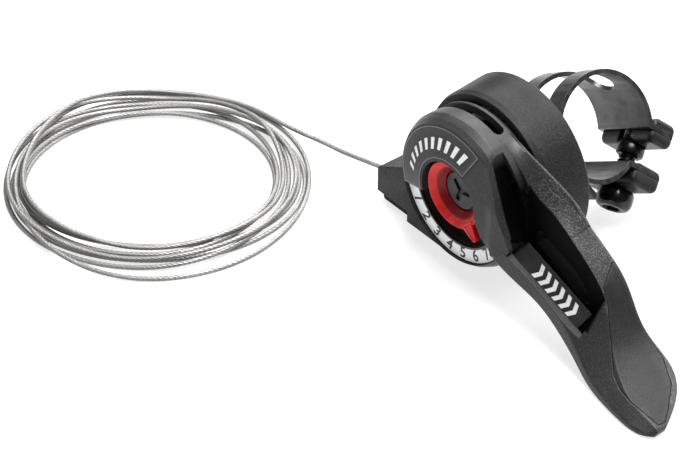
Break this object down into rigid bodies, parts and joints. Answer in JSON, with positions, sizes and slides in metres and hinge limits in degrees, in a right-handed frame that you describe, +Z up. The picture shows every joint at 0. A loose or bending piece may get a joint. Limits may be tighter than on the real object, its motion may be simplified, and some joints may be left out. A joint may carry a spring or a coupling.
{
  "type": "thumb shifter",
  "caption": "Handlebar thumb shifter: a curved lever turns a numbered dial and the cable spool inside it, on a steel band clamp, with a loose coil of inner cable.",
  "frame": {"origin": "on the resting surface, under the middle of the shifter without its cable", "axes": "the lever's pivot axis is along +Y and the dial faces -Y; the lever reaches along +X; +Z is up"},
  "size_m": [0.1775, 0.1309, 0.0445],
  "materials": {
    "housing_plastic": "fine stipple",
    "lever_plastic": "satin",
    "pad_rubber": "fine stipple",
    "side_plate": "satin",
    "label": "satin, printed outline",
    "number_ring": "satin, printed numbers",
    "red_plastic": "satin",
    "cap_plastic": "satin",
    "spool_plastic": "as moulded",
    "washer_plastic": "as moulded",
    "black_steel": "blackened, streaky",
    "black_screw_steel": "black, glossy",
    "bolt_steel": "dark, satin",
    "plated_steel": "zinc plated",
    "cable_steel": "bright, twisted strands",
    "bush_brass": "turned"
  },
  "bodies": {
    "shifter_base": {"base_housing": "housing_plastic", "saddle": "plated_steel", "saddle_rivets": "plated_steel", "clamp_band": "black_steel", "upper_cap": "cap_plastic", "lower_cap": "cap_plastic", "barrel_nut": "black_screw_steel", "pivot_bolt": "bolt_steel", "pivot_nut": "plated_steel", "pointer_ring": "red_plastic", "index_plate": "plated_steel", "friction_washer": "washer_plastic", "inner_cable": "cable_steel", "cable_coil": "cable_steel"},
    "lever": {"lever": "lever_plastic", "thumb_pad": "pad_rubber", "side_plate": "side_plate", "face_label": "label", "number_ring": "number_ring", "cable_spool": "spool_plastic", "cable_nipple": "cable_steel", "pivot_bush": "bush_brass", "detent_spring": "plated_steel", "detent_ball": "plated_steel"},
    "screw": {"clamp_screw": "black_screw_steel"}
  },
  "joints": [
    {"name": "lever_turn", "type": "hinge", "parent": "shifter_base", "child": "lever", "pos_m": [-0.01865, -0.02692, 0.02304], "axis": [0, -1, 0], "range_deg": [0, 102]},
    {"name": "clamp_screw_turn", "type": "hinge", "parent": "shifter_base", "child": "screw", "pos_m": [-0.01228, 0.02218, 0.01245], "axis": [-0.3604, 0.7145, 0.5997], "continuous": true}
  ]
}
